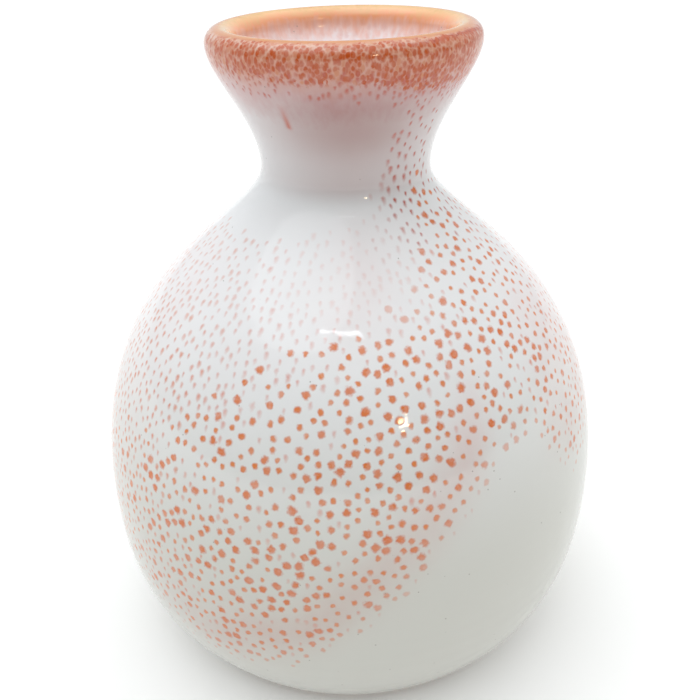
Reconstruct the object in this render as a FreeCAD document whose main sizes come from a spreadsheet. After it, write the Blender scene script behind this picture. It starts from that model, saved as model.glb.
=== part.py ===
import FreeCAD, Part
import Sketcher
import math
import os

# Ceramic bud vase: a low, round belly drawn in to a narrow waist under a flared, rolled lip.
# The fired clay body carries a skin of glaze outside, a liner glaze inside, a band of rim
# glaze over the lip and a disc of glaze in the foot recess. The foot ring is bare clay.
# Frame: millimetres, +Z up the axis, origin on the axis at the level of the foot.

# Every driving dimension: alias, value in mm or degrees, what it sets.
dimensions = [
    ("height", 101.0, "foot to crest of the lip"),
    ("lip_radius", 20.0, "axis to the outermost ring of the lip"),
    ("neck_length", 18.0, "outermost ring of the lip down to the waist"),
    ("waist_radius", 13.0, "axis to the narrowest ring outside"),
    ("belly_radius", 42.0, "axis to the widest ring outside"),
    ("belly_height", 28.0, "foot to the widest ring"),
    ("foot_radius", 33.0, "axis to the edge where the outer glaze ends"),
    ("foot_height", 0.6, "foot to the edge where the outer glaze ends"),
    ("wall", 4.4, "glaze to glaze through the wall, and across the lip"),
    ("glaze", 0.5, "thickness of every glaze skin"),
    ("lip_handle", 4.3, "how far the lip stays upright before it turns in"),
    ("neck_handle", 7.0, "how far the neck stays upright above the waist"),
    ("collar_handle", 9.1, "how far the wall stays upright below the waist"),
    ("shoulder_handle", 37.9, "how far the belly stays upright above its widest ring"),
    ("underside_handle", 15.8, "how far the belly stays upright below its widest ring"),
    ("tuck_handle", 7.8, "how far the underside holds its slope above the foot"),
    ("tuck_angle", 52.0, "slope of the underside at the foot, from level"),
    ("rim_angle", 25.0, "where the rim glaze ends each side of the crest, from level"),
    ("floor_height", 6.4, "foot to the glazed floor inside"),
    ("floor_corner_run", 8.0, "edge of the outer glaze in to the flat of the floor"),
    ("floor_corner_handle", 7.0, "how far the floor runs level into its corner"),
    ("ring_width", 4.5, "width of the bare foot ring"),
    ("recess_depth", 1.6, "foot up to the glaze in the recess"),
    ("recess_draft", 0.8, "how far the recess narrows on its way up"),
    ("foot_bevel", 0.3, "broken edges of the foot ring"),
    ("wiped_margin", 1.0, "bare clay around the glaze in the recess"),
]

doc = FreeCAD.newDocument("bud_vase")
sheet = doc.addObject("Spreadsheet::Sheet", "Dims")
for row, (alias, value, meaning) in enumerate(dimensions, start=1):
    sheet.set(f"A{row}", alias)
    sheet.set(f"B{row}", str(value))
    sheet.set(f"C{row}", meaning)
    sheet.setAlias(f"B{row}", alias)
doc.recompute()

# Heights and slopes that several outlines share, as expressions on the sheet.
lip_level = "(Dims.height - Dims.wall / 2)"
waist_level = f"({lip_level} - Dims.neck_length)"
neck_slant = (
    "atan2(Dims.lip_radius - Dims.waist_radius;"
    " Dims.neck_length - Dims.lip_handle - Dims.neck_handle)"
)
shoulder_slant = (
    "atan2(Dims.belly_radius - Dims.waist_radius;"
    f" {waist_level} - Dims.collar_handle - Dims.belly_height - Dims.shoulder_handle)"
)
underside_slant = (
    "atan2(Dims.belly_radius - Dims.foot_radius - Dims.tuck_handle * cos(Dims.tuck_angle);"
    " Dims.belly_height - Dims.underside_handle - Dims.foot_height"
    " - Dims.tuck_handle * sin(Dims.tuck_angle))"
)
crest_centre = ("Dims.lip_radius - Dims.wall / 2", lip_level)

# Depths below the outer glaze surface at which the other surfaces of the wall lie.
outside = "0"
clay_outside = "Dims.glaze"
clay_inside = "(Dims.wall - Dims.glaze)"
inside = "Dims.wall"


# Each stretch of the wall is a cubic curve with upright ends. A surface that lies some depth
# inside it has its four poles moved in by that depth, and its handles lengthened or shortened
# by the depth times the tangent of half the turn, which keeps the two surfaces parallel.
def neck_poles(depth):
    turn = f"{depth} * tan({neck_slant} / 2)"
    lip = f"Dims.lip_radius - {depth}"
    waist = f"Dims.waist_radius - {depth}"
    return [
        (lip, lip_level),
        (lip, f"{lip_level} - Dims.lip_handle + {turn}"),
        (waist, f"{waist_level} + Dims.neck_handle + {turn}"),
        (waist, waist_level),
    ]


def shoulder_poles(depth):
    turn = f"{depth} * tan({shoulder_slant} / 2)"
    waist = f"Dims.waist_radius - {depth}"
    belly = f"Dims.belly_radius - {depth}"
    return [
        (waist, waist_level),
        (waist, f"{waist_level} - Dims.collar_handle - {turn}"),
        (belly, f"Dims.belly_height + Dims.shoulder_handle - {turn}"),
        (belly, "Dims.belly_height"),
    ]


def underside_poles(depth):
    turn = f"{depth} * tan({underside_slant} / 2)"
    last_turn = f"{depth} * tan((90 deg - Dims.tuck_angle * 1 deg - {underside_slant}) / 2)"
    belly = f"Dims.belly_radius - {depth}"
    edge_radius = f"Dims.foot_radius - {depth} * sin(Dims.tuck_angle)"
    edge_level = f"Dims.foot_height + {depth} * cos(Dims.tuck_angle)"
    handle = f"(Dims.tuck_handle - {last_turn})"
    return [
        (belly, "Dims.belly_height"),
        (belly, f"Dims.belly_height - Dims.underside_handle + {turn}"),
        (f"{edge_radius} + {handle} * cos(Dims.tuck_angle)",
         f"{edge_level} + {handle} * sin(Dims.tuck_angle)"),
        (edge_radius, edge_level),
    ]


# Inside, the wall turns level into the flat floor instead of following the foot.
def floor_poles(depth):
    turn = f"{depth} * tan({underside_slant} / 2)"
    belly = f"Dims.belly_radius - {depth}"
    flat = "Dims.foot_radius - Dims.floor_corner_run"
    level = f"Dims.floor_height - Dims.wall + {depth}"
    return [
        (belly, "Dims.belly_height"),
        (belly, f"Dims.belly_height - Dims.underside_handle + {turn}"),
        (f"{flat} + Dims.floor_corner_handle", level),
        (flat, level),
    ]


def crest_point(depth, angle):
    radius = f"abs(Dims.wall / 2 - {depth})"
    return (
        f"{crest_centre[0]} + {radius} * cos({angle})",
        f"{lip_level} + {radius} * sin({angle})",
    )


# Moves that make up a half-section: each leaves from where the last one ended.
def line(end):
    return ("line", [end])


def curve(poles):
    return ("curve", poles[1:])


def arc_down(end):
    return ("arc_down", [end])


def arc_up(end):
    return ("arc_up", [end])


class HalfSection:
    """A closed, fully constrained sketch in a body's XZ plane, drawn move by move."""

    def __init__(self, body, name, moves):
        self.sketch = body.newObject("Sketcher::SketchObject", name)
        planes = [f for f in body.Origin.OriginFeatures if f.Role == "XZ_Plane"]
        self.sketch.AttachmentSupport = [(planes[0], "")]
        self.sketch.MapMode = "FlatFace"
        self.start = moves[-1][1][-1]
        self.ends = []
        for kind, points in moves:
            draw = {"line": self.draw_line, "curve": self.draw_curve}.get(kind, self.draw_arc)
            self.ends.append(draw(kind, points))
            self.start = points[-1]
        for this, following in zip(self.ends, self.ends[1:] + self.ends[:1]):
            geometry, _, leaving = this
            next_geometry, entering, _ = following
            self.constrain("Coincident", geometry, leaving, next_geometry, entering)

    def vector(self, point):
        numbers = [float(getattr(v, "Value", v)) for v in map(self.sketch.evalExpression, point)]
        return FreeCAD.Vector(numbers[0], numbers[1], 0)

    def constrain(self, *arguments):
        return self.sketch.addConstraint(Sketcher.Constraint(*arguments))

    def place(self, geometry, position, point, axes="XY"):
        """Ties one coordinate or both of a point to expressions on the sheet."""
        for axis, expression, number in zip("XY", point, self.vector(point)):
            if axis not in axes:
                continue
            if expression == "0":
                self.constrain("PointOnObject", geometry, position, -2 if axis == "X" else -1)
                continue
            index = self.constrain("Distance" + axis, -1, 1, geometry, position, number)
            self.sketch.setExpression(f"Constraints[{index}]", expression)

    def draw_line(self, _, points):
        segment = Part.LineSegment(self.vector(self.start), self.vector(points[0]))
        geometry = self.sketch.addGeometry(segment)
        self.place(geometry, 2, points[0])
        return geometry, 1, 2

    def draw_curve(self, _, points):
        poles = [self.vector(p) for p in [self.start] + points]
        spline = Part.BSplineCurve(poles, None, None, False, 3, None, False)
        geometry = self.sketch.addGeometry(spline)
        for number, pole in enumerate(poles):
            ring = Part.Circle(pole, FreeCAD.Vector(0, 0, 1), 1)
            handle = self.sketch.addGeometry(ring, True)
            self.constrain("Weight", handle, 1.0)
            alignment = "InternalAlignment:Sketcher::BSplineControlPoint"
            self.constrain(alignment, handle, 3, geometry, number)
            if number > 0:
                self.place(handle, 3, points[number - 1])
        return geometry, 1, 2

    def draw_arc(self, kind, points):
        """Part of the rounded crest, whose centre is the middle of the wall at lip level."""
        centre = self.vector(crest_centre)
        ends = [self.vector(self.start) - centre, self.vector(points[0]) - centre]
        if kind == "arc_down":
            ends.reverse()
        angles = [math.atan2(v.y, v.x) % (2 * math.pi) for v in ends]
        circle = Part.Circle(centre, FreeCAD.Vector(0, 0, 1), ends[0].Length)
        geometry = self.sketch.addGeometry(Part.ArcOfCircle(circle, *angles))
        entering, leaving = (2, 1) if kind == "arc_down" else (1, 2)
        self.place(geometry, 3, crest_centre)
        self.place(geometry, leaving, points[0], axes="Y")
        return geometry, entering, leaving


def turned_piece(label, moves):
    """A body revolved from one half-section."""
    body = doc.addObject("PartDesign::Body", label)
    body.Label = label
    section = HalfSection(body, label + "_section", moves)
    revolution = body.newObject("PartDesign::Revolution", label + "_turned")
    revolution.Profile = section.sketch
    revolution.ReferenceAxis = (section.sketch, ["V_Axis"])
    revolution.Angle = 360
    body.Tip = revolution
    section.sketch.Visibility = False
    return body


def make_clay_body():
    """Fired clay: wall, floor, lip core and the bare foot ring around a shallow recess."""
    edge = underside_poles(clay_outside)[-1]
    ring_outer = edge[0]
    ring_inner = f"{ring_outer} - Dims.ring_width"
    recess_ceiling = "Dims.recess_depth + Dims.glaze"
    moves = [
        line(floor_poles(clay_inside)[-1]),
        curve(floor_poles(clay_inside)[::-1]),
        curve(shoulder_poles(clay_inside)[::-1]),
        curve(neck_poles(clay_inside)[::-1]),
        arc_down((f"Dims.lip_radius - {clay_outside}", lip_level)),
        curve(neck_poles(clay_outside)),
        curve(shoulder_poles(clay_outside)),
        curve(underside_poles(clay_outside)),
        line((ring_outer, "Dims.foot_bevel")),
        line((f"{ring_outer} - Dims.foot_bevel", "0")),
        line((f"{ring_inner} + Dims.foot_bevel", "0")),
        line((ring_inner, "Dims.foot_bevel")),
        line((f"{ring_inner} - Dims.recess_draft", recess_ceiling)),
        line(("0", recess_ceiling)),
        line(("0", floor_poles(clay_inside)[-1][1])),
    ]
    return turned_piece("clay_body", moves)


def make_outer_glaze():
    """Glaze skin on the outside, from under the rim band down to the edge above the foot."""
    moves = [
        arc_down((f"Dims.lip_radius - {outside}", lip_level)),
        curve(neck_poles(outside)),
        curve(shoulder_poles(outside)),
        curve(underside_poles(outside)),
        line(underside_poles(clay_outside)[-1]),
        curve(underside_poles(clay_outside)[::-1]),
        curve(shoulder_poles(clay_outside)[::-1]),
        curve(neck_poles(clay_outside)[::-1]),
        arc_up(crest_point(clay_outside, "Dims.rim_angle")),
        line(crest_point(outside, "Dims.rim_angle")),
    ]
    return turned_piece("outer_glaze", moves)


def make_inner_glaze():
    """Liner glaze, from under the rim band down the neck and belly and over the floor."""
    far_angle = "180 - Dims.rim_angle"
    moves = [
        arc_up((f"Dims.lip_radius - {inside}", lip_level)),
        curve(neck_poles(inside)),
        curve(shoulder_poles(inside)),
        curve(floor_poles(inside)),
        line(("0", floor_poles(inside)[-1][1])),
        line(("0", floor_poles(clay_inside)[-1][1])),
        line(floor_poles(clay_inside)[-1]),
        curve(floor_poles(clay_inside)[::-1]),
        curve(shoulder_poles(clay_inside)[::-1]),
        curve(neck_poles(clay_inside)[::-1]),
        arc_down(crest_point(clay_inside, far_angle)),
        line(crest_point(inside, far_angle)),
    ]
    return turned_piece("inner_glaze", moves)


def make_rim_glaze():
    """Band of rim glaze over the crest of the lip."""
    far_angle = "180 - Dims.rim_angle"
    moves = [
        arc_down(crest_point(outside, "Dims.rim_angle")),
        line(crest_point(clay_outside, "Dims.rim_angle")),
        arc_up(crest_point(clay_outside, far_angle)),
        line(crest_point(outside, far_angle)),
    ]
    return turned_piece("rim_glaze", moves)


def make_base_glaze():
    """Disc of glaze on the ceiling of the foot recess, inside the wiped margin."""
    ring_outer = underside_poles(clay_outside)[-1][0]
    edge = f"{ring_outer} - Dims.ring_width - Dims.recess_draft - Dims.wiped_margin"
    lower = "Dims.recess_depth"
    upper = "Dims.recess_depth + Dims.glaze"
    moves = [
        line((edge, lower)),
        line((edge, upper)),
        line(("0", upper)),
        line(("0", lower)),
    ]
    return turned_piece("base_glaze", moves)


pieces = [
    make_clay_body(),
    make_outer_glaze(),
    make_inner_glaze(),
    make_rim_glaze(),
    make_base_glaze(),
]
doc.recompute()

for item in doc.Objects:
    if {"Invalid", "Error"} & set(item.State):
        raise RuntimeError(f"{item.Name} did not rebuild: {item.State}")
for piece in pieces:
    if piece.Shape.isNull() or not piece.Shape.isValid() or len(piece.Shape.Solids) != 1:
        raise RuntimeError(f"{piece.Label} is not one valid solid")

os.makedirs("parts", exist_ok=True)
for piece in pieces:
    piece.Shape.exportStep(f"parts/{piece.Label}.step")
    box = piece.Shape.BoundBox
    print(f"{piece.Label}: {piece.Shape.Volume / 1000:.2f} cm3, z {box.ZMin:.2f} to {box.ZMax:.2f}")
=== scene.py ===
import math

import bpy
import numpy as np
from mathutils import Matrix, Vector


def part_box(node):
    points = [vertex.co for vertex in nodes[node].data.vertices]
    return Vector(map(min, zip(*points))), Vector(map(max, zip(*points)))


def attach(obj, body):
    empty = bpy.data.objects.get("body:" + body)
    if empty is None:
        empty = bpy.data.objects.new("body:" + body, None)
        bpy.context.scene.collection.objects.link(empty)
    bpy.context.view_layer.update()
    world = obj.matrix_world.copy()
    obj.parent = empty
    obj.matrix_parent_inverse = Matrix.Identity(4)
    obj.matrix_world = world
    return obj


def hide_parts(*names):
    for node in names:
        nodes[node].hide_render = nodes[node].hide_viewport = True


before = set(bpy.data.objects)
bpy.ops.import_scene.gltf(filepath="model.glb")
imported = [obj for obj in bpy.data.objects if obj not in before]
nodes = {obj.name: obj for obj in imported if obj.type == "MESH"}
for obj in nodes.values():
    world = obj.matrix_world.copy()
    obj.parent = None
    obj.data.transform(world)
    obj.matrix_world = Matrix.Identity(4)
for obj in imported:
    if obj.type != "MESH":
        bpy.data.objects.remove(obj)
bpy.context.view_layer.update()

mm = 0.001
scene = bpy.context.scene
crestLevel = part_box("rim_glaze")[1].z

# Camera first: held close above the lip and a little crooked, so the lip looks wide.
cameraSetup = dict(
    away=130 * mm,          # from the vase's axis
    aboveCrest=17.23 * mm,
    downTilt=28.563,        # degrees below level
    roll=-0.87,
    turn=-0.09,
    lens=44.115,            # on a 36 mm sensor
)


def makeCamera(setup):
    data = bpy.data.cameras.new("camera")
    data.lens = setup["lens"]
    data.sensor_width = 36
    data.clip_start = 5 * mm
    camera = bpy.data.objects.new("camera", data)
    scene.collection.objects.link(camera)
    turned = Matrix.Rotation(math.radians(setup["turn"]), 4, "Z")
    tilted = Matrix.Rotation(math.radians(90 - setup["downTilt"]), 4, "X")
    rolled = Matrix.Rotation(math.radians(setup["roll"]), 4, "Z")
    place = Matrix.Translation((0, -setup["away"], crestLevel + setup["aboveCrest"]))
    camera.matrix_world = place @ turned @ tilted @ rolled
    scene.camera = camera


makeCamera(cameraSetup)
print("camera placed")

# The wall in mm: the same three cubic curves as the solid model's. A handle is how far a curve
# keeps its first direction before it turns.
wall = dict(
    height=crestLevel / mm,
    lipRadius=20.0, neckLength=18.0, waistRadius=13.0,
    bellyRadius=42.0, bellyHeight=28.0, footRadius=33.0, footHeight=0.6,
    thick=4.4, glaze=0.5, rimAngle=math.radians(25),
    lipHandle=4.3, neckHandle=7.0, collarHandle=9.1, shoulderHandle=37.9,
    undersideHandle=15.8, tuckHandle=7.8, tuckAngle=math.radians(52),
    floorHeight=6.4, floorCornerRun=8.0, floorCornerHandle=7.0,
)
wall["lipLevel"] = wall["height"] - wall["thick"] / 2
wall["waistLevel"] = wall["lipLevel"] - wall["neckLength"]


# A cubic curve: its four poles weighted (1-t)^3, 3t(1-t)^2, 3t^2(1-t) and t^3 as t runs 0 to 1.
def bend(poles, count):
    t = np.linspace(0, 1, count)[:, None]
    first, second, third, last = np.array(poles, float)
    out = (1 - t) ** 3 * first + 3 * t * (1 - t) ** 2 * second
    return out + 3 * t * t * (1 - t) * third + t ** 3 * last


# Radius and height down the wall at a depth under the outer surface, from lip to foot or floor.
# Going in by a depth moves each pole in and changes each handle by depth * tan(half its turn).
def wallPath(depth, counts, toFloor=False):
    w = wall
    neckTurn = math.atan2(w["lipRadius"] - w["waistRadius"],
                          w["neckLength"] - w["lipHandle"] - w["neckHandle"])
    shoulderTurn = math.atan2(
        w["bellyRadius"] - w["waistRadius"],
        w["waistLevel"] - w["collarHandle"] - w["bellyHeight"] - w["shoulderHandle"])
    tuckRun = w["tuckHandle"] * math.cos(w["tuckAngle"])
    tuckRise = w["tuckHandle"] * math.sin(w["tuckAngle"])
    underTurn = math.atan2(w["bellyRadius"] - w["footRadius"] - tuckRun,
                           w["bellyHeight"] - w["undersideHandle"] - w["footHeight"] - tuckRise)
    lip, waist, belly = (w[name] - depth for name in ("lipRadius", "waistRadius", "bellyRadius"))
    neckShift, shoulderShift, underShift = (
        depth * math.tan(turn / 2) for turn in (neckTurn, shoulderTurn, underTurn))
    neck = [(lip, w["lipLevel"]), (lip, w["lipLevel"] - w["lipHandle"] + neckShift),
            (waist, w["waistLevel"] + w["neckHandle"] + neckShift), (waist, w["waistLevel"])]
    shoulder = [(waist, w["waistLevel"]),
                (waist, w["waistLevel"] - w["collarHandle"] - shoulderShift),
                (belly, w["bellyHeight"] + w["shoulderHandle"] - shoulderShift),
                (belly, w["bellyHeight"])]
    if toFloor:
        flat = w["footRadius"] - w["floorCornerRun"]
        level = w["floorHeight"] - w["thick"] + depth
        end = [(flat + w["floorCornerHandle"], level), (flat, level)]
    else:
        lastTurn = math.pi / 2 - w["tuckAngle"] - underTurn
        handle = w["tuckHandle"] - depth * math.tan(lastTurn / 2)
        edge = np.array([w["footRadius"] - depth * math.sin(w["tuckAngle"]),
                         w["footHeight"] + depth * math.cos(w["tuckAngle"])])
        end = [edge + handle * np.array([math.cos(w["tuckAngle"]), math.sin(w["tuckAngle"])]), edge]
    underside = [(belly, w["bellyHeight"]),
                 (belly, w["bellyHeight"] - w["undersideHandle"] + underShift)] + end
    runs = [bend(poles, n) for poles, n in zip((neck, shoulder, underside), counts)]
    return np.concatenate([runs[0], runs[1][1:], runs[2][1:]])


# The rounded crest: a circle round the middle of the wall at lip level.
def crestPath(radius, fromAngle, toAngle, count):
    angle = np.linspace(fromAngle, toAngle, count)
    middle = wall["lipRadius"] - wall["thick"] / 2
    return np.stack([middle + radius * np.cos(angle),
                     wall["lipLevel"] + radius * np.sin(angle)], 1)


# Adds two columns to radius and height: the distance from the path's start, and the same
# distance over radius, which is what keeps a pattern's shape on a turned form. Nearer the axis
# than 2 mm the radius counts as 2.
def measured(path, sign=1):
    step = np.hypot(*np.diff(path, axis=0).T)
    middle = np.maximum((path[1:, 0] + path[:-1, 0]) / 2, 2)
    drop = np.concatenate([[0], np.cumsum(step)])
    rise = np.concatenate([[0], np.cumsum(step / middle)]) / (2 * np.pi)
    return np.column_stack([path, sign * drop, sign * rise])


# A coarse copy of a path for the hidden side of a skin, with the visible side's two measures.
def hiddenSide(path, visible):
    share = np.linspace(0, 1, len(path)) * (len(visible) - 1)
    extra = [np.interp(share, np.arange(len(visible)), visible[:, k]) for k in (2, 3)]
    return np.column_stack([path] + extra)


# Eases from 0 at low to 1 at high with 3t^2 - 2t^3.
def ease(value, low, high):
    t = np.clip((value - low) / (high - low), 0, 1)
    return t * t * (3 - 2 * t)


# What the hand and the kiln left, in mm and radians: the rim leans a little, the wall is
# faintly oval, and the throwing rings are about a hundredth of a millimetre high.
hand = dict(
    rimLean=math.radians(0.75),
    oval=0.0016, ovalTurn=0.6, ovalTwist=40, ovalFrom=(4, 20),
    ringHeight=0.01, ringPitch=3.1, ringBeat=7.3, ringsFrom=(8, 16), ringsTo=(72, 79),
    flatRadius=5,    # nearer the axis than this the rings die away
)


# Radius grows by a slow two-lobed wave and fine rings, and the rim rises towards +x.
def handMade(radius, azimuth, level):
    grow = ease(level, *hand["ovalFrom"])
    spiral = 2 * np.pi * level / hand["ringPitch"] + azimuth
    ring = hand["ringHeight"] * np.sin(spiral) * (0.6 + 0.4 * np.sin(level / hand["ringBeat"]))
    ring *= (ease(level, *hand["ringsFrom"]) * (1 - ease(level, *hand["ringsTo"]))
             * np.minimum(1, radius / hand["flatRadius"]))
    wave = np.cos(2 * azimuth + hand["ovalTurn"] + level / hand["ovalTwist"])
    lobe = 1 + hand["oval"] * wave * grow
    lean = math.tan(hand["rimLean"]) * radius * np.sin(azimuth)
    return radius * lobe + ring, level + lean * ease(level, wall["waistLevel"], wall["lipLevel"])


# Where the colour sits, as (degrees round from the front, mm above the foot).
zones = dict(
    spotsFrom=[(-180, 36), (-130, 30), (-90, 26), (-60, 21), (-30, 14), (-12, 17), (0, 25),
               (15, 36), (30, 48), (42, 50), (58, 39), (75, 44), (100, 34), (140, 42), (180, 36)],
    spotsTo=[(-180, 72), (-120, 74), (-90, 71), (-40, 72), (-12, 73), (8, 74), (20, 79),
             (30, 90), (50, 91), (64, 79), (90, 76), (130, 70), (180, 72)],
    crispTo=[(-180, 54), (-130, 50), (-90, 44), (-60, 46), (-35, 55), (-12, 62), (0, 65),
             (20, 67), (35, 73), (48, 80), (68, 77), (80, 60), (110, 50), (150, 58), (180, 54)],
    crispShare=[(-180, 0.7), (-100, 0.5), (-70, 0.3), (-45, 0.55), (-28, 0.92), (30, 0.97),
                (62, 0.9), (76, 0.45), (110, 0.5), (180, 0.7)],
    softKind=[(-180, 0.4), (-90, 0.5), (-45, 0.4), (-25, 0.15), (20, 0.15), (45, 0.3),
              (75, 0.45), (180, 0.4)],
    cellsTo=[(-180, 6.6), (-100, 7.0), (-60, 6.6), (-20, 6.5), (10, 6.8), (32, 8.6),
             (60, 9.2), (100, 7.2), (180, 6.6)],    # mm down from the crest
    beadShare=[(-180, 0.5), (-90, 0.3), (-30, 0.35), (-4, 0.5), (12, 0.9), (55, 1.0), (90, 0.5),
               (180, 0.5)],
    cellShare=[(-180, 0.7), (-100, 0.6), (-80, 0.3), (-58, 0.6), (-35, 0.92), (-20, 1.0),
               (40, 1.0), (65, 0.8), (100, 0.7), (180, 0.7)],
)
# Where a zone comes in and goes out, in mm from its own edge.
fades = dict(
    spotsIn=(-2.5, 2.5), spotsOut=(-3, 3), crispIn=(-4, 1), crispOut=(-4, 4),
    cellsIn=(0.2, 2.4), cellsOut=(-3.0, 1.0), beadsIn=(-3.0, -1.0), beadsOut=(0, 3.0),
)


# A zone's edge at each azimuth: straight between its points.
def edge(name, azimuth):
    at, value = zip(*zones[name])
    return np.interp(np.degrees(azimuth), at, value)


# Eases in past an edge over one of the fades.
def fadeIn(value, at, name):
    return ease(value, at + fades[name][0], at + fades[name][1])


# How much of each colour lies at azimuth, height and distance from the crest, from 0 to 1.
def zoneAt(azimuth, level, drop):
    low, high = edge("spotsFrom", azimuth), edge("spotsTo", azimuth)
    crispHigh, last = edge("crispTo", azimuth), edge("cellsTo", azimuth)
    inside = fadeIn(level, low, "spotsIn") * (1 - fadeIn(level, high, "spotsOut"))
    crisp = fadeIn(level, low, "crispIn") * (1 - fadeIn(level, crispHigh, "crispOut"))
    crisp = crisp * edge("crispShare", azimuth)
    cells = fadeIn(drop, 0, "cellsIn") * (1 - fadeIn(drop, last, "cellsOut"))
    beads = fadeIn(drop, last, "beadsIn") * (1 - fadeIn(drop, last, "beadsOut"))
    return dict(inside=inside, crisp=crisp, cells=cells, beads=beads, aboveLow=level - low)


# Wraps an angle to between -pi and pi.
def wrapped(angle):
    return (angle + np.pi) % (2 * np.pi) - np.pi


# Sizes are radii from small to large and gaps are the least distance between two centres, in mm.
# Kind runs from 0, soft pink, through 1, crisp orange, to 2, soft red. Kinds and strengths are
# the least, then what the spot's own random share adds.
spots = dict(
    seed=71, tries=90000, sizeCurve=1.5,
    grid=1.5,    # at least the widest gap, so that only the cells next to a spot need a look
    crisp=dict(gap=1.44, size=(0.42, 0.77), kind=(0.85, 0.15), strength=(0.84, 0.16)),
    soft=dict(gap=1.18, size=(0.32, 0.5), kind=(0.6, 0.6), strength=(0.34, 0.3), forKind=0.75),
    bead=dict(gap=0.7, size=(0.27, 0.42), kind=(1.55, 0.3), strength=(0.55, 0.45)),
    inner=dict(gap=0.9, size=(0.35, 0.8), kind=(0.25, 0.25), strength=(0.06, 0.22)),
    beadsEnd=16, spotsStart=8,                        # mm down from the crest
    nearEdge=dict(above=(-4, 5), size=(0.8, 0.2), strength=(0.35, 0.65)),
    smallerRight=dict(less=0.12, degrees=(20, 50)),
    faintTop=dict(less=0.6, level=(63, 69), degrees=(16, 36)),
    faintLeft=dict(less=0.45, level=(56, 69), degrees=(22, 38), untilDegrees=(110, 150)),
    strongNeck=dict(more=0.6, level=(73, 78), degrees=(15, 25)),
    warmLow=dict(kind=0.2, level=(35, 55)),
    redNeck=dict(level=72, degrees=(10, 80)),
    innerFrom=-3.6, innerTo=-7.2, innerFade=(-1.6, 1.4),    # mm, negative down the inside
    innerWaves=((0.8, 3, 1), (0.5, 7, 0)),    # mm, lobes round the neck, turn
)


# A pair's first number, plus its second times a share.
def spread(pair, share):
    return pair[0] + pair[1] * share


# What a spot thrown on the outside is: kept or not, its gap, radius, kind and strength. Beads are
# the small red drops that have come loose below the rim.
def outsideSpot(setup, azimuth, level, drop, draws):
    zone, degrees = zoneAt(azimuth, level, drop), np.degrees(azimuth)
    chance, pick, grade, fade = draws
    crispSetup, softSetup, beadSetup = setup["crisp"], setup["soft"], setup["bead"]
    isBead = (drop < setup["beadsEnd"]) & (chance < zone["beads"] * edge("beadShare", azimuth))
    isSpot = ~isBead & (drop > setup["spotsStart"]) & (chance < zone["inside"])
    isCrisp = isSpot & (pick < zone["crisp"])
    gap = np.select([isBead, isCrisp], [beadSetup["gap"], crispSetup["gap"]], softSetup["gap"])
    small, large = (
        np.select([isBead, isCrisp], [beadSetup["size"][k], crispSetup["size"][k]],
                  softSetup["size"][k]) for k in (0, 1))
    size = small + (large - small) * grade ** setup["sizeCurve"]
    near, right = setup["nearEdge"], setup["smallerRight"]
    above = ease(zone["aboveLow"], *near["above"])
    size *= np.where(isBead, 1, spread(near["size"], above)
                     * (1 - right["less"] * ease(degrees, *right["degrees"])))
    softShare = edge("softKind", azimuth)
    softStrength = (softSetup["strength"][0] + softSetup["forKind"] * softShare
                    + softSetup["strength"][1] * fade)
    strength = np.where(isCrisp, spread(crispSetup["strength"], fade), softStrength)
    strength = strength * spread(near["strength"], above)
    # Faint at the top of the front and over the left shoulder, strong where they climb the neck.
    top, left, neck = setup["faintTop"], setup["faintLeft"], setup["strongNeck"]
    strength *= (1 - top["less"] * ease(level, *top["level"])
                 * (1 - ease(np.abs(degrees), *top["degrees"])))
    strength *= (1 - left["less"] * ease(level, *left["level"]) * ease(-degrees, *left["degrees"])
                 * (1 - ease(-degrees, *left["untilDegrees"])))
    strength *= 1 + neck["more"] * ease(level, *neck["level"]) * ease(degrees, *neck["degrees"])
    warm, red = setup["warmLow"], setup["redNeck"]
    softKind = (softShare * spread(softSetup["kind"], grade)
                + warm["kind"] * (1 - ease(level, *warm["level"])))
    onNeck = (~isCrisp & (level > red["level"]) & (degrees > red["degrees"][0])
              & (degrees < red["degrees"][1]))
    kind = np.select([isBead | onNeck, isCrisp],
                     [spread(beadSetup["kind"], grade), spread(crispSetup["kind"], grade)], softKind)
    strength = np.where(isBead, spread(beadSetup["strength"], fade), strength)
    return isBead | isSpot, gap, size, kind, np.clip(strength, 0, 1)


# The same for the inside: faint salmon blots along the foot of the blush, 4 to 9 mm down, where
# its edge wanders by two waves round the neck.
def insideSpot(setup, azimuth, level, drop, draws):
    chance, _, grade, fade = draws
    inner = setup["inner"]
    low = setup["innerTo"]
    for height, lobes, turn in setup["innerWaves"]:
        low = low + height * np.sin(lobes * azimuth + turn)
    near = ease(drop, low + setup["innerFade"][0], low + setup["innerFade"][1])
    keep = (drop < setup["innerFrom"]) & (chance < near)
    small, large = inner["size"]
    size = small + (large - small) * grade
    return (keep, np.full_like(drop, inner["gap"]), size, spread(inner["kind"], grade),
            spread(inner["strength"], fade))


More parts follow.
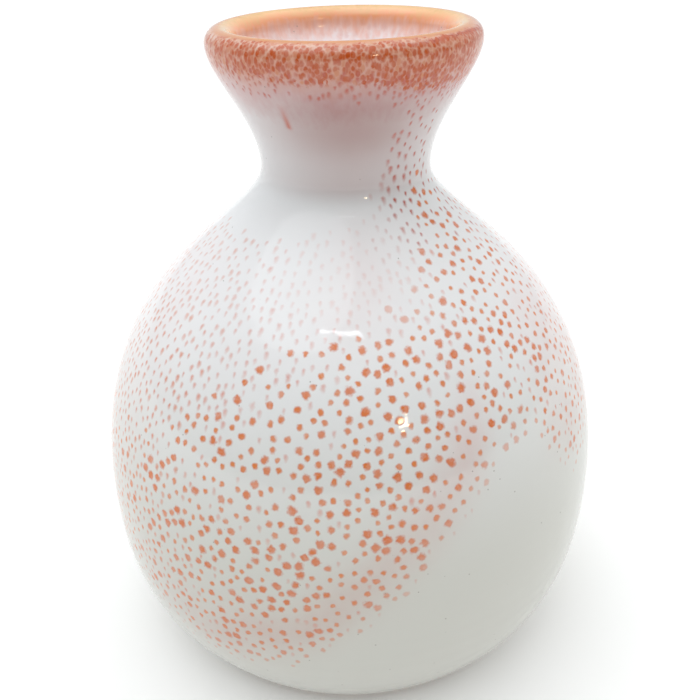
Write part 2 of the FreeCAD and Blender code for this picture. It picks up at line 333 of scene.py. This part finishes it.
# Spot centres thrown at random over a surface, evenly by area, and kept where none is too near.
def scatterSpots(setup, surface, decide, seed):
    rng = np.random.default_rng(seed)
    radius, level, drop = surface[:, 0], surface[:, 1], surface[:, 2]
    run = np.abs(drop)
    area = np.concatenate([[0], np.cumsum(np.diff(run) * (radius[1:] + radius[:-1]) / 2)])
    along = np.interp(rng.random(setup["tries"]) * area[-1], area, run)
    azimuth = rng.uniform(-np.pi, np.pi, setup["tries"])
    r, z = np.interp(along, run, radius), np.interp(along, run, level)
    at = along * np.sign(drop[-1])
    keep, gap, size, kind, strength = decide(setup, azimuth, z, at, rng.random((4, setup["tries"])))
    place = np.stack([r * np.sin(azimuth), -r * np.cos(azimuth), z], 1)
    kept, grid = [], {}
    for k in np.flatnonzero(keep):
        cell = tuple((place[k] // setup["grid"]).astype(int))
        near = [n for dx in (-1, 0, 1) for dy in (-1, 0, 1) for dz in (-1, 0, 1)
                for n in grid.get((cell[0] + dx, cell[1] + dy, cell[2] + dz), ())]
        if near and (((place[near] - place[k]) ** 2).sum(1) < gap[k] ** 2).any():
            continue
        kept.append(k)
        grid.setdefault(cell, []).append(k)
    print(len(kept), "spots")
    return dict(azimuth=azimuth[kept], drop=at[kept], radius=r[kept], size=size[kept],
                kind=kind[kept], strength=strength[kept])


# For each face's corners, the step to the nearest and next nearest spot of that face, across
# and down, in units of the spot's own radius, with its kind and strength. Each sector of the
# circle looks only at the spots within reach, in mm.
def spotSteps(azimuth, drop, radius, found, sectors=120, reach=5):
    middle = azimuth[:, 0] + wrapped(azimuth[:, 2] - azimuth[:, 0]) / 2
    middleDrop, middleRadius = drop.mean(1), radius.mean(1)
    out = np.zeros((2, len(azimuth), 4, 4), np.float32)
    sector = ((middle + np.pi) / (2 * np.pi) * sectors).astype(int) % sectors
    stretch = np.where(np.abs(found["kind"] - 1) < 0.5, 1.0, 2.0)    # soft spots have a tail
    for s in range(sectors):
        face = np.flatnonzero(sector == s)
        centre = -np.pi + 2 * np.pi * (s + 0.5) / sectors
        use = np.flatnonzero(np.abs(wrapped(found["azimuth"] - centre)) * found["radius"] < reach)
        if not len(face) or len(use) < 2:
            continue
        across = wrapped(middle[face, None] - found["azimuth"][None, use]) * middleRadius[face, None]
        down = middleDrop[face, None] - found["drop"][None, use]
        down = np.where(down > 0, down / stretch[use], down)
        far = np.hypot(across, down) / found["size"][use]
        order = np.argpartition(far, 1, axis=1)[:, :2]
        first = far[np.arange(len(face)), order[:, 0]] > far[np.arange(len(face)), order[:, 1]]
        order[first] = order[first][:, ::-1]
        for k in (0, 1):
            spot = use[order[:, k]]
            size = found["size"][spot][:, None]
            turn = wrapped(azimuth[face] - found["azimuth"][spot][:, None])
            out[k, face, :, 0] = turn * radius[face] / size
            out[k, face, :, 1] = (drop[face] - found["drop"][spot][:, None]) / size
            out[k, face, :, 2] = found["kind"][spot][:, None]
            out[k, face, :, 3] = found["strength"][spot][:, None]
    return out


# Degrees round from the front, and mm above the foot ("level") or down from the crest ("drop").
tintAreas = dict(
    soft=dict(share=0.05),
    nearLow=dict(share=0.42, above=6, width=6, degrees=(-60, -20), untilDegrees=(24, 36)),
    rightSide=dict(share=0.3, degrees=(42, 60), untilDegrees=(100, 130), level=(38, 46),
                   untilLevel=(60, 70)),
    leftSide=dict(share=0.14, degrees=(40, 70), untilDegrees=(130, 160)),
    column=dict(share=0.12, degrees=4, width=13, level=(58, 66), untilLevel=(74, 80)),
    # the low-down tint: painted shade, darker and a little creamier towards the bottom, gone above
    # these levels
    creamAndShade=dict(untilLevel=(28, 68)),
    # the neck: a mauve tint that also paints shade on the neck, strongest at the front
    neck=dict(level=(77.5, 81), drop=(3, 7), frontTurn=0.05, frontWidth=0.75, share=(0.3, 0.65),
              deeper=(5, 12), depth=(0.35, 0.65), paler=0.4, palerDrop=(14, 22)),
    drip=dict(degrees=29, radius=15, width=0.36, drop=(9, 14.2), untilDrop=(13.8, 14.6)),
    pooled=dict(drop=1.75, wander=0.25, width=0.3, degrees=(18, 40), untilDegrees=(95, 120)),
)


# Tints that change slowly: pink haze among the spots, painted shade low down with a faint cream tint,
# the mauve neck with painted shade strongest at the front, one drip, the dark red line where the rim
# glaze has pooled, and the share of red cells.
def tints(azimuth, level, drop):
    zone, areas, degrees = zoneAt(azimuth, level, drop), tintAreas, np.degrees(azimuth)
    low, right, left, column = (areas[k] for k in ("nearLow", "rightSide", "leftSide", "column"))
    nearLow = (np.exp(-((zone["aboveLow"] - low["above"]) / low["width"]) ** 2)
               * ease(degrees, *low["degrees"]))
    nearLow *= 1 - ease(degrees, *low["untilDegrees"])
    rightSide = ease(degrees, *right["degrees"]) * (1 - ease(degrees, *right["untilDegrees"]))
    rightSide *= ease(level, *right["level"]) * (1 - ease(level, *right["untilLevel"]))
    leftSide = ease(-degrees, *left["degrees"]) * (1 - ease(-degrees, *left["untilDegrees"]))
    soft = zone["inside"] * (1 - zone["crisp"])
    middle = (np.exp(-((degrees - column["degrees"]) / column["width"]) ** 2)
              * ease(level, *column["level"]) * (1 - ease(level, *column["untilLevel"])))
    haze = (areas["soft"]["share"] * soft + column["share"] * middle + low["share"] * nearLow
            + right["share"] * rightSide + left["share"] * leftSide * zone["inside"])
    # Painted shade: the glaze darkens towards the bottom with a faint cream tint.
    creamAndShade = 1 - ease(level, *areas["creamAndShade"]["untilLevel"])
    neck = areas["neck"]
    # The neck's mauve tint is partly painted shade, strongest where the neck faces the front.
    front = np.exp(-(wrapped(azimuth - neck["frontTurn"]) / neck["frontWidth"]) ** 2)
    neckTintAndShade = ease(level, *neck["level"]) * ease(drop, *neck["drop"])
    neckTintAndShade = neckTintAndShade * spread(neck["share"], front) * spread(neck["depth"], ease(drop, *neck["deeper"]))
    neckTintAndShade *= 1 - neck["paler"] * ease(drop, *neck["palerDrop"])
    run = areas["drip"]
    aside = wrapped(azimuth + math.radians(run["degrees"])) * run["radius"]
    drip = np.exp(-(aside / run["width"]) ** 2)
    drip = drip * ease(drop, *run["drop"]) * (1 - ease(drop, *run["untilDrop"]))
    line = areas["pooled"]
    offLine = drop - line["drop"] - line["wander"] * np.sin(5 * azimuth)
    pooled = np.exp(-(offLine / line["width"]) ** 2)
    pooled = pooled * ease(degrees, *line["degrees"]) * (1 - ease(degrees, *line["untilDegrees"]))
    cells = zone["cells"] * edge("cellShare", azimuth)
    return dict(haze=np.clip(haze, 0, 1), cells=cells, creamAndShade=creamAndShade, neckTintAndShade=neckTintAndShade, drip=drip,
                pooled=pooled, drop=drop)


# A surface of revolution: path point i at azimuth a goes to (r sin a, -r cos a, z), so azimuth 0
# faces the front. A path from axis to axis closes in two poles; any other is a closed loop.
def turnedPiece(name, path, around, material, found, onAxis=False):
    rows = path[1:-1] if onAxis else path
    count, column = len(rows), np.arange(around)
    azimuth = -np.pi + 2 * np.pi * column / around
    grid = np.repeat(rows[:, None, :], around, 1)
    gridAzimuth = np.repeat(azimuth[None, :], count, 0)
    radius, level = handMade(grid[..., 0], gridAzimuth, grid[..., 1])
    points = np.stack([radius * np.sin(gridAzimuth), -radius * np.cos(gridAzimuth), level], -1)
    points = points.reshape(-1, 3)
    i, j = np.meshgrid(np.arange(count - 1 if onAxis else count), column, indexing="ij")
    i2, j2 = (i + 1) % count, (j + 1) % around
    corners = np.stack([np.stack([i, j]), np.stack([i2, j]), np.stack([i2, j2]), np.stack([i, j2])])
    quads = (corners[:, 0] * around + corners[:, 1]).reshape(4, -1).T
    faces = quads.tolist()
    fans = 0
    if onAxis:
        top = len(points)
        points = np.concatenate([points, [[0, 0, path[0, 1]], [0, 0, path[-1, 1]]]])
        after, last = (column + 1) % around, (count - 1) * around
        faces += np.stack([np.full(around, top), column, after], 1).tolist()
        faces += np.stack([np.full(around, top + 1), last + after, last + column], 1).tolist()
        fans = 2 * around
    mesh = bpy.data.meshes.new(name)
    mesh.from_pydata((points * mm).tolist(), [], faces)
    flatAzimuth, flatRows = gridAzimuth.ravel(), grid.reshape(-1, 4)
    left, right = column / around, (column + 1) / around
    u = np.stack([left[j], left[j], right[j], right[j]], -1).reshape(-1, 4)
    flat = np.concatenate([np.stack([u, flatRows[quads, 3]], -1).reshape(-1, 2),
                           np.zeros((fans * 3, 2))])
    mesh.uv_layers.new(name="glazeMap").data.foreach_set("uv", flat.ravel().astype(np.float32))
    for tint, value in tints(flatAzimuth, flatRows[:, 1], flatRows[:, 2]).items():
        value = np.concatenate([value, [value[0], value[-1]]]) if onAxis else value
        layer = mesh.attributes.new(tint, "FLOAT", "POINT")
        layer.data.foreach_set("value", value.astype(np.float32))
    steps = spotSteps(flatAzimuth[quads], flatRows[quads, 2], flatRows[quads, 0], found)
    for label, values in zip(("spotNear", "spotNext"), steps):
        layer = mesh.attributes.new(label, "FLOAT_COLOR", "CORNER")
        values = np.concatenate([values.reshape(-1, 4), np.zeros((fans * 3, 4), np.float32)])
        layer.data.foreach_set("color", values.ravel())
    mesh.shade_smooth()
    mesh.set_sharp_from_angle(angle=math.radians(50))   # only where a skin turns in to the clay
    mesh.materials.append(material)
    piece = bpy.data.objects.new(name, mesh)
    scene.collection.objects.link(piece)
    print(name, len(faces), "faces")
    return piece


# sRGB hex to linear, as the shaders take it.
def paint(code):
    parts = [int(code[k:k + 2], 16) / 255 for k in (1, 3, 5)]
    return [c / 12.92 if c <= 0.04045 else ((c + 0.055) / 1.055) ** 2.4 for c in parts] + [1.0]


# The scale that makes a texture's cells or lumps this many millimetres wide.
def perMm(size):
    return 1 / (size * mm)


# A map range's limits by name: where it starts and ends, then what it gives there.
def span(limits):
    return dict(zip(("From Min", "From Max", "To Min", "To Max"), limits))


# Adds one node. Inputs take a value, a socket, or a node whose first live output is meant.
def add(tree, kind, inputs=None, stops=None, **settings):
    made = tree.nodes.new(kind)
    for name, value in settings.items():
        setattr(made, name, value)
    for socket, value in (inputs or {}).items():
        if isinstance(value, bpy.types.Node):
            value = next(out for out in value.outputs if out.enabled)
        if isinstance(value, bpy.types.NodeSocket):
            tree.links.new(value, made.inputs[socket])
        else:
            made.inputs[socket].default_value = value
    if stops:
        while len(made.color_ramp.elements) < len(stops):
            made.color_ramp.elements.new(1.0)
        for element, (position, colour) in zip(made.color_ramp.elements, stops):
            element.position, element.color = position, paint(colour)
    return made


def newMaterial(name):
    material = bpy.data.materials.new(name)
    material.use_nodes = True
    material.node_tree.nodes.clear()
    return material, material.node_tree


# Glossy white stoneware glaze: a wet-looking, faintly wavy white with sharp reflections.
# Iron in it has come up as orange discs with crisp edges and as pink spots that have run, and
# has gathered at the rim in red cells between pale veins, under a honey-coloured crest.
glazeLook = dict(
    # by half the spot's kind
    spotKinds=[(0.0, "#DA9C92"), (0.1, "#D68A78"), (0.25, "#DA8868"), (0.42, "#E28A50"),
               (0.5, "#DC7438"), (0.7, "#BE6050")],
    # by the cell's own random number
    cellKinds=[(0.0, "#BC4E18"), (0.45, "#C05A2C"), (0.75, "#C0664A"), (1.0, "#D08A68")],
    cellSize=0.52, cellWander=0.34, cellTall=1.5,    # mm, mm, height over width
    cellChance=0.55,
    # by mm out from the crest, as far as crestReach to either side
    crestReach=14,
    aroundCrest=[(-14, "#F8F5F8"), (-8.6, "#FAF4F8"), (-6.2, "#FDF1F2"), (-4.4, "#FBD5CB"),
                 (-2.4, "#F9AF84"), (-1.3, "#EFBC88"), (-0.5, "#DFB478"), (0.1, "#D38C4C"),
                 (0.8, "#D08C60"), (1.5, "#E0BDAB"), (2.6, "#DCAB94"), (4.8, "#DCA998"),
                 (8.5, "#DEC3C2"), (13.5, "#EAEBEC")],
    # The low-down multiply tint is painted shade with a faint cream colour.
    # The neck's multiply tint is a mauve colour with painted shade, strongest at the front.
    haze="#E2BDBB", creamAndShade="#E9E8DF", neckTintAndShade="#C8A8A4", drip="#C4705E", pooled="#A8412A",
    pinhole="#857A73", pinholeShare=0.6, spotRing="#DDBBAF", ior=1.5, sheen=(0.8, 1.2),
    # Limits for span: the cells' share and soft edges, then what breaks up or fades each thing.
    cellLimits=(0.68, 0.98), cellEdge=(0.92, 0.38, 0.1), cellGate=(0.02, 0.25),
    grain=(0.35, 0.55, 0.84), ring=(0.4, 0.95, 0.0, 0.55), blotch=(0.25, 0.7, 0.45, 1.15),
    beading=(0.35, 0.55, 0.25, 1.4), pitEdge=(0.055, 0.025),
    loosening=(0.5, 5.0, 1.0, 3.6),    # from mm off the crest to mm of wander
    # of a spot's radius: how far its edge wanders and lies, and its full-colour middle
    edgeWander=1.15, spotEdge=1.18, crispMiddle=0.5, softMiddle=-0.15,
    tail=1.6,    # how much longer the softest spots are below
    fine=0.7, streak=0.8, cloud=7, peelWidth=1.9, pitGap=2.6,    # widths in mm
    streakSquash=0.2,    # a streak is as tall as its width over this
    wave=0.045, peel=0.017, pit=0.03, bead=0.006,    # heights in mm
)


def glazeMaterial(name, roughness):
    look = glazeLook
    material, tree = newMaterial(name)
    place = add(tree, "ShaderNodeTexCoord").outputs["Object"]
    fine = add(tree, "ShaderNodeTexNoise", {"Vector": place, "Scale": perMm(look["fine"]),
                                            "Detail": 2.0})
    shift = add(tree, "ShaderNodeVectorMath", {0: fine.outputs["Color"], 1: (0.5, 0.5, 0.5)},
                operation="SUBTRACT")
    shift = add(tree, "ShaderNodeVectorMath", {0: shift, 3: look["edgeWander"]}, operation="SCALE")
    masks, kinds, distances = [], [], []
    for layer in ("spotNear", "spotNext"):
        step = add(tree, "ShaderNodeAttribute", attribute_name=layer)
        kind = add(tree, "ShaderNodeSeparateXYZ", {0: step.outputs["Vector"]}).outputs["Z"]
        moved = add(tree, "ShaderNodeVectorMath", {0: step.outputs["Vector"], 1: shift})
        moved = add(tree, "ShaderNodeSeparateXYZ", {0: moved})
        soft = add(tree, "ShaderNodeMath", {0: kind, 1: 1.0}, operation="SUBTRACT")
        soft = add(tree, "ShaderNodeMath", {0: soft}, operation="ABSOLUTE", use_clamp=True)
        tail = add(tree, "ShaderNodeMath", {0: soft, 1: look["tail"], 2: 1.0},
                   operation="MULTIPLY_ADD")
        below = add(tree, "ShaderNodeMath", {0: moved.outputs["Y"], 1: 0.0}, operation="MAXIMUM")
        below = add(tree, "ShaderNodeMath", {0: below, 1: tail}, operation="DIVIDE")
        above = add(tree, "ShaderNodeMath", {0: moved.outputs["Y"], 1: 0.0}, operation="MINIMUM")
        down = add(tree, "ShaderNodeMath", {0: below, 1: above})
        flat = add(tree, "ShaderNodeCombineXYZ", {"X": moved.outputs["X"], "Y": down})
        distance = add(tree, "ShaderNodeVectorMath", {0: flat}, operation="LENGTH").outputs["Value"]
        inner = add(tree, "ShaderNodeMapRange", {"Value": soft, "To Min": look["crispMiddle"],
                                                 "To Max": look["softMiddle"]})
        disc = add(tree, "ShaderNodeMapRange", {"Value": distance, "From Min": look["spotEdge"],
                                                "From Max": inner}, interpolation_type="SMOOTHSTEP")
        masks.append(add(tree, "ShaderNodeMath", {0: disc, 1: step.outputs["Alpha"]},
                         operation="MULTIPLY"))
        kinds.append(kind)
        distances.append(distance)
    spot = add(tree, "ShaderNodeMath", {0: masks[0], 1: masks[1]}, operation="MAXIMUM")
    second = add(tree, "ShaderNodeMath", {0: masks[1], 1: masks[0]}, operation="GREATER_THAN")
    kind = add(tree, "ShaderNodeMix", {0: second, 2: kinds[0], 3: kinds[1]})
    grain = add(tree, "ShaderNodeMapRange", {"Value": fine.outputs["Fac"], **span(look["grain"])})
    spot = add(tree, "ShaderNodeMath", {0: spot, 1: grain}, operation="MULTIPLY")
    half = add(tree, "ShaderNodeMath", {0: kind, 1: 0.5}, operation="MULTIPLY")
    spotColour = add(tree, "ShaderNodeValToRGB", {0: half}, stops=look["spotKinds"])
    nearer = add(tree, "ShaderNodeMath", {0: distances[0], 1: distances[1]}, operation="MINIMUM")
    ringed = add(tree, "ShaderNodeMapRange", {"Value": nearer, **span(look["ring"])})
    spotColour = add(tree, "ShaderNodeMix", {0: ringed, 6: spotColour, 7: paint(look["spotRing"])},
                     data_type="RGBA", blend_type="MULTIPLY")
    # The colours round the crest run down in narrow streaks and wander by a millimetre or so.
    tallPlace = add(tree, "ShaderNodeMapping", {"Vector": place, "Scale": (1, 1, look["streakSquash"])})
    streak = add(tree, "ShaderNodeTexNoise", {"Vector": tallPlace, "Scale": perMm(look["streak"]),
                                              "Detail": 2.0})
    cloud = add(tree, "ShaderNodeTexNoise", {"Vector": place, "Scale": perMm(look["cloud"]),
                                             "Detail": 3.0})
    drop = add(tree, "ShaderNodeAttribute", attribute_name="drop").outputs["Fac"]
    away = add(tree, "ShaderNodeMath", {0: drop}, operation="ABSOLUTE")
    loose = add(tree, "ShaderNodeMapRange", {"Value": away, **span(look["loosening"])})
    wander = add(tree, "ShaderNodeMath", {0: streak.outputs["Fac"], 1: cloud.outputs["Fac"]})
    wander = add(tree, "ShaderNodeMath", {0: wander, 1: 1.0}, operation="SUBTRACT")
    drop = add(tree, "ShaderNodeMath", {0: wander, 1: loose, 2: drop}, operation="MULTIPLY_ADD")
    reach = look["crestReach"]
    share = add(tree, "ShaderNodeMapRange", {"Value": drop, "From Min": -reach, "From Max": reach})
    colour = add(tree, "ShaderNodeValToRGB", {0: share},
                 stops=[((at + reach) / (2 * reach), code) for at, code in look["aroundCrest"]])
    # Rim cells between pale veins. Each is there or not as its random number falls against the
    # share of rim colour at that place, so that they thin out at both edges.
    mosaic = add(tree, "ShaderNodeMapping", {"Vector": place, "Scale": (1, 1, 1 / look["cellTall"])})
    mosaic = add(tree, "ShaderNodeVectorMath",
                 {0: shift, 1: (look["cellWander"] * mm,) * 3, 2: mosaic}, operation="MULTIPLY_ADD")
    cell = add(tree, "ShaderNodeTexVoronoi", {"Vector": mosaic, "Scale": perMm(look["cellSize"])})
    chances = add(tree, "ShaderNodeSeparateXYZ", {0: cell.outputs["Color"]})
    cells = add(tree, "ShaderNodeAttribute", attribute_name="cells").outputs["Fac"]
    present = add(tree, "ShaderNodeMath", {0: chances.outputs["X"], 1: streak.outputs["Fac"]})
    present = add(tree, "ShaderNodeMath", {0: present, 1: look["cellChance"], 2: cells},
                  operation="MULTIPLY_ADD")
    present = add(tree, "ShaderNodeMapRange", {"Value": present, **span(look["cellLimits"])},
                  interpolation_type="SMOOTHSTEP")
    gate = add(tree, "ShaderNodeMapRange", {"Value": cells, **span(look["cellGate"])})
    present = add(tree, "ShaderNodeMath", {0: present, 1: gate}, operation="MULTIPLY")
    filled = add(tree, "ShaderNodeMapRange", {"Value": cell.outputs["Distance"],
                                              **span(look["cellEdge"])},
                 interpolation_type="SMOOTHSTEP")
    cellMask = add(tree, "ShaderNodeMath", {0: present, 1: filled}, operation="MULTIPLY")
    cellMask = add(tree, "ShaderNodeMath", {0: cellMask, 1: grain}, operation="MULTIPLY")
    cellColour = add(tree, "ShaderNodeValToRGB", {0: chances.outputs["Y"]}, stops=look["cellKinds"])
    # Haze comes in cloudy blotches and the pooled line in small beads.
    blotch = add(tree, "ShaderNodeMapRange", {"Value": cloud.outputs["Fac"], **span(look["blotch"])})
    beads = add(tree, "ShaderNodeMapRange", {"Value": fine.outputs["Fac"], **span(look["beading"])})
    # The low-down and neck multiply tints paint shade as well as colour.
    for tint, mode in (("haze", "MIX"), ("creamAndShade", "MULTIPLY"), ("neckTintAndShade", "MULTIPLY"),
                       ("drip", "MIX"), ("pooled", "MIX")):
        amount = add(tree, "ShaderNodeAttribute", attribute_name=tint).outputs["Fac"]
        patch = {"haze": blotch, "pooled": beads}.get(tint)
        if patch:
            amount = add(tree, "ShaderNodeMath", {0: amount, 1: patch}, operation="MULTIPLY",
                         use_clamp=True)
        colour = add(tree, "ShaderNodeMix", {0: amount, 6: colour, 7: paint(look[tint])},
                     data_type="RGBA", blend_type=mode)
    colour = add(tree, "ShaderNodeMix", {0: cellMask, 6: colour, 7: cellColour}, data_type="RGBA")
    colour = add(tree, "ShaderNodeMix", {0: spot, 6: colour, 7: spotColour}, data_type="RGBA")
    pits = add(tree, "ShaderNodeTexVoronoi", {"Vector": place, "Scale": perMm(look["pitGap"])})
    pit = add(tree, "ShaderNodeMapRange", {"Value": pits.outputs["Distance"],
                                           **span(look["pitEdge"])})
    shade = add(tree, "ShaderNodeMath", {0: pit, 1: look["pinholeShare"]}, operation="MULTIPLY")
    colour = add(tree, "ShaderNodeMix", {0: shade, 6: colour, 7: paint(look["pinhole"])},
                 data_type="RGBA")
    # Relief in mm: a slow wave, a finer peel, pits, and beads a few microns proud.
    peel = add(tree, "ShaderNodeTexNoise", {"Vector": place, "Scale": perMm(look["peelWidth"]),
                                            "Detail": 1.0})
    relief = add(tree, "ShaderNodeMath", {0: cloud.outputs["Fac"], 1: look["wave"]},
                 operation="MULTIPLY")
    for height, source in ((look["peel"], peel.outputs["Fac"]), (-look["pit"], pit),
                           (look["bead"], spot)):
        relief = add(tree, "ShaderNodeMath", {0: source, 1: height, 2: relief},
                     operation="MULTIPLY_ADD")
    bump = add(tree, "ShaderNodeBump", {"Height": relief, "Distance": mm})
    least, most = look["sheen"]
    sheen = add(tree, "ShaderNodeMapRange", {"Value": fine.outputs["Fac"],
                                             "To Min": roughness * least, "To Max": roughness * most})
    surface = add(tree, "ShaderNodeBsdfPrincipled", {"Base Color": colour, "Roughness": sheen,
                                                     "IOR": look["ior"], "Normal": bump})
    add(tree, "ShaderNodeOutputMaterial", {"Surface": surface})
    return material


# Bare fired stoneware: matte, buff, with darker grog specks and a sandy tooth.
clay = dict(pale="#C9B49A", dark="#A98F74", grog="#6F5A48", roughness=0.85,
            cloud=6, grogSize=0.9, tooth=0.35, toothHeight=0.06,    # mm
            darkAt=0.3, paleAt=0.7, speck=(0.3, 0.15, 0.0, 0.8))    # the speck's limits for span


def clayMaterial():
    material, tree = newMaterial("firedStoneware")
    place = add(tree, "ShaderNodeTexCoord").outputs["Object"]
    cloud = add(tree, "ShaderNodeTexNoise", {"Vector": place, "Scale": perMm(clay["cloud"]),
                                             "Detail": 4.0})
    colour = add(tree, "ShaderNodeValToRGB", {0: cloud.outputs["Fac"]},
                 stops=[(clay["darkAt"], clay["dark"]), (clay["paleAt"], clay["pale"])])
    grog = add(tree, "ShaderNodeTexVoronoi", {"Vector": place, "Scale": perMm(clay["grogSize"])})
    speck = add(tree, "ShaderNodeMapRange", {"Value": grog.outputs["Distance"],
                                             **span(clay["speck"])})
    colour = add(tree, "ShaderNodeMix", {0: speck, 6: colour, 7: paint(clay["grog"])},
                 data_type="RGBA")
    grain = add(tree, "ShaderNodeTexNoise", {"Vector": place, "Scale": perMm(clay["tooth"]),
                                             "Detail": 3.0})
    bump = add(tree, "ShaderNodeBump", {"Height": grain.outputs["Fac"],
                                        "Distance": clay["toothHeight"] * mm})
    surface = add(tree, "ShaderNodeBsdfPrincipled", {
        "Base Color": colour, "Roughness": clay["roughness"], "Normal": bump})
    add(tree, "ShaderNodeOutputMaterial", {"Surface": surface})
    return material


outsideGlaze = glazeMaterial("speckledWhiteGlaze", roughness=0.06)
linerGlaze = glazeMaterial("linerWhiteGlaze", roughness=0.09)
rimGlaze = glazeMaterial("honeyRimGlaze", roughness=0.07)
print("materials made")

# Three skins as thick as the glaze, closed on the clay side: numbers of rows along each path.
skins = dict(
    around=360, crest=15, lipSide=8, outside=(46, 92, 64), inside=(30, 46, 34), floorRows=12,
    hidden=(10, 16, 12), hiddenCrest=9, hiddenLipSide=4,
)
depth, rim = wall["glaze"], wall["rimAngle"]
half = wall["thick"] / 2
crestOut = measured(np.concatenate([crestPath(half, math.pi / 2, rim, skins["crest"]),
                                    crestPath(half, rim, 0, skins["lipSide"])[1:],
                                    wallPath(0, skins["outside"])[1:]]))
crestIn = measured(np.concatenate([crestPath(half, math.pi / 2, math.pi - rim, skins["crest"]),
                                   crestPath(half, math.pi - rim, math.pi, skins["lipSide"])[1:],
                                   wallPath(wall["thick"], skins["inside"], True)[1:]]), -1)
split = skins["crest"] - 1
outside, inside = crestOut[split:], crestIn[split:]
band = np.concatenate([crestIn[split:0:-1], crestOut[:split + 1]])
under = half - depth
clayOut = np.concatenate([crestPath(under, rim, 0, skins["hiddenLipSide"]),
                          wallPath(depth, skins["hidden"])[1:]])
clayIn = np.concatenate([crestPath(under, math.pi - rim, math.pi, skins["hiddenLipSide"]),
                         wallPath(wall["thick"] - depth, skins["hidden"], True)[1:]])
underOutside = hiddenSide(clayOut, outside)[::-1]
underInside = hiddenSide(clayIn, inside)
underBand = hiddenSide(crestPath(under, math.pi - rim, rim, skins["hiddenCrest"]), band)[::-1]
axisTop, axisUnder = inside[-1:].copy(), underInside[-1:].copy()
axisTop[:, 0] = axisUnder[:, 0] = 0
floorRows = np.linspace(1, 0, skins["floorRows"])[1:-1, None]
floorTop = axisTop + (inside[-1:] - axisTop) * floorRows[::-1]
floorUnder = axisUnder + (underInside[-1:] - axisUnder) * floorRows[::3]

outsideSpots = scatterSpots(spots, crestOut, outsideSpot, spots["seed"])
insideSpots = scatterSpots(spots, crestIn, insideSpot, spots["seed"] + 1)
found = {key: np.concatenate([outsideSpots[key], insideSpots[key]]) for key in outsideSpots}
outerSkin = turnedPiece("outer_skin", np.concatenate([outside, underOutside]), skins["around"],
                        outsideGlaze, found)
linerSkin = turnedPiece("liner_skin", np.concatenate([axisTop, floorTop, inside[::-1], underInside,
                                                      floorUnder, axisUnder]),
                        skins["around"], linerGlaze, found, onAxis=True)
rimSkin = turnedPiece("rim_skin", np.concatenate([band, underBand]), skins["around"], rimGlaze, found)
for piece, node, slot in ((outerSkin, "outer_glaze", "speckled_glaze"),
                          (linerSkin, "inner_glaze", "liner_glaze"),
                          (rimSkin, "rim_glaze", "rim_glaze")):
    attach(piece, "root")
    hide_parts(node)

for node, material in (("clay_body", clayMaterial()), ("base_glaze", linerGlaze)):
    for slot in nodes[node].material_slots:
        slot.material = material
print("clay and base glaze painted")

# A plain pale table that runs out of view.
floor = dict(half=4.0, colour="#DCDCDB", roughness=0.8, lift=0.3)    # half its width in m


def makeFloor():
    size = floor["half"]
    mesh = bpy.data.meshes.new("floor")
    mesh.from_pydata([(-size, -size, 0), (size, -size, 0), (size, size, 0), (-size, size, 0)], [],
                     [(0, 1, 2, 3)])
    material, tree = newMaterial("paleTable")
    surface = add(tree, "ShaderNodeBsdfPrincipled", {
        "Base Color": paint(floor["colour"]), "Roughness": floor["roughness"],
        "Emission Color": paint(floor["colour"]), "Emission Strength": floor["lift"]})
    add(tree, "ShaderNodeOutputMaterial", {"Surface": surface})
    mesh.materials.append(material)
    piece = bpy.data.objects.new("floor", mesh)
    scene.collection.objects.link(piece)


makeFloor()

# Lights: a soft panel high on the left, a thin cool strip close above, and a small warm lamp to
# the right. Each is placed round the middle of the vase, by azimuth from the front and elevation
# in degrees, and distance and size in m.
middleLevel = crestLevel * 0.48
lights = dict(
    panel=dict(azimuth=-80, elevation=70, away=5.0, size=(5.6, 4.4), glow=0.8, colour="#F6FAFF",
               shape="ELLIPSE"),
    strip=dict(azimuth=-5, elevation=59, away=0.47, size=(0.15, 0.006), glow=12.0, colour="#F4FAFF"),
    lamp=dict(azimuth=26, elevation=25, away=2.0, size=(0.15, 0.07), glow=42.0, colour="#FFE3B4"),
)
# The room is brighter behind the vase than in front, and brightest overhead. Across and upward
# are where the change starts and ends, as parts of a unit direction.
surround = dict(colour="#F7F9FA", front=0.1, back=0.88, overhead=1.5, across=(-0.75, 0.6),
                upward=(0.5, 1.0))


# Glow is what a rectangular light's face sends out, so its power is glow * pi * area.
def makeLight(name, setup):
    data = bpy.data.lights.new(name, "AREA")
    data.shape = setup.get("shape", "RECTANGLE")
    data.size, data.size_y = setup["size"]
    data.energy = setup["glow"] * math.pi * data.size * data.size_y
    data.color = paint(setup["colour"])[:3]
    azimuth, elevation = math.radians(setup["azimuth"]), math.radians(setup["elevation"])
    outward = Vector((math.cos(elevation) * math.sin(azimuth),
                      -math.cos(elevation) * math.cos(azimuth), math.sin(elevation)))
    light = bpy.data.objects.new(name, data)
    light.location = Vector((0, 0, middleLevel)) + outward * setup["away"]
    light.rotation_euler = outward.to_track_quat("Z", "Y").to_euler()
    scene.collection.objects.link(light)


for name, setup in lights.items():
    makeLight(name, setup)
world = bpy.data.worlds.new("studio")
world.use_nodes = True
background = world.node_tree.nodes["Background"]
background.inputs["Color"].default_value = paint(surround["colour"])
facing = add(world.node_tree, "ShaderNodeTexCoord").outputs["Generated"]
facing = add(world.node_tree, "ShaderNodeSeparateXYZ", {0: facing})
level = add(world.node_tree, "ShaderNodeMapRange", {
    "Value": facing.outputs["Y"], "To Min": surround["front"], "To Max": surround["back"],
    **span(surround["across"])}, interpolation_type="SMOOTHSTEP")
overhead = add(world.node_tree, "ShaderNodeMapRange", {
    "Value": facing.outputs["Z"], "To Max": surround["overhead"],
    **span(surround["upward"])}, interpolation_type="SMOOTHSTEP")
glow = add(world.node_tree, "ShaderNodeMath", {0: level, 1: overhead})
world.node_tree.links.new(glow.outputs["Value"], background.inputs["Strength"])
scene.world = world
scene.view_settings.view_transform = "Standard"
print("lights and floor set")
